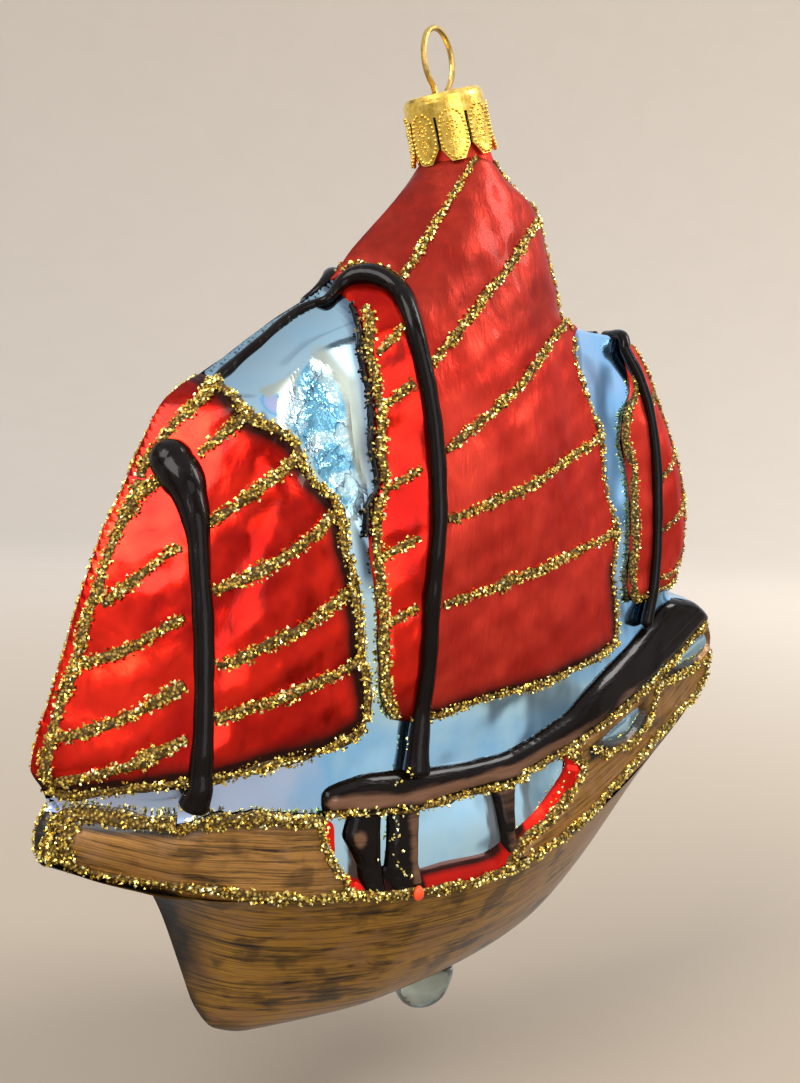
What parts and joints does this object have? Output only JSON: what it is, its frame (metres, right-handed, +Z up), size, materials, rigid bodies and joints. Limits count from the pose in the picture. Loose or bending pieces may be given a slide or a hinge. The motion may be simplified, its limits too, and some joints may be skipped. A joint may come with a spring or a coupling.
{
  "type": "hanging glass ornament in the form of a three-masted sailing junk",
  "caption": "Hanging blown-glass tree ornament shaped as a three-masted sailing junk, with a stamped metal cap that pulls off its neck and a wire loop for a hook.",
  "frame": {"origin": "inside top of the wire loop, where a hook or thread bears", "axes": "+X towards the ship's bow, +Y to port, +Z up as it hangs"},
  "size_m": [0.1193, 0.0386, 0.1424],
  "materials": {
    "gold_metal": "bright stamped, gold coloured",
    "gold_wire": "bright drawn wire, gold coloured",
    "silvered_glass": "silvered on the inside, faint blue",
    "wood_brown": "painted golden brown with dark wood streaks over silver",
    "dark_enamel": "glossy dark brown enamel",
    "red_gloss": "glossy transparent red lacquer over silver",
    "red_satin": "satin red lacquer over silver",
    "clear_tip": "clear, slightly green"
  },
  "bodies": {
    "hanger": {"cap": "gold_metal", "wire_hanger": "gold_wire"},
    "glass": {"neck": "silvered_glass", "hull": "wood_brown", "forecastle": "wood_brown", "poop_sides": "wood_brown", "waist_floor": "red_gloss", "waist_wall": "silvered_glass", "rail_and_posts": "dark_enamel", "silver_deck_and_valleys": "silvered_glass", "foresail": "red_gloss", "mainsail": "red_satin", "mainsail_luff": "red_gloss", "mizzen_sail": "red_satin", "main_mast": "dark_enamel", "mizzen_mast": "dark_enamel", "fore_mast_port": "dark_enamel", "fore_mast_starboard": "dark_enamel", "glass_tip": "clear_tip"}
  },
  "joints": [
    {"name": "cap_pull", "type": "slide", "parent": "hanger", "child": "glass", "axis": [-0.3256, 0, -0.9455], "range_m": [0, 0.02]}
  ]
}
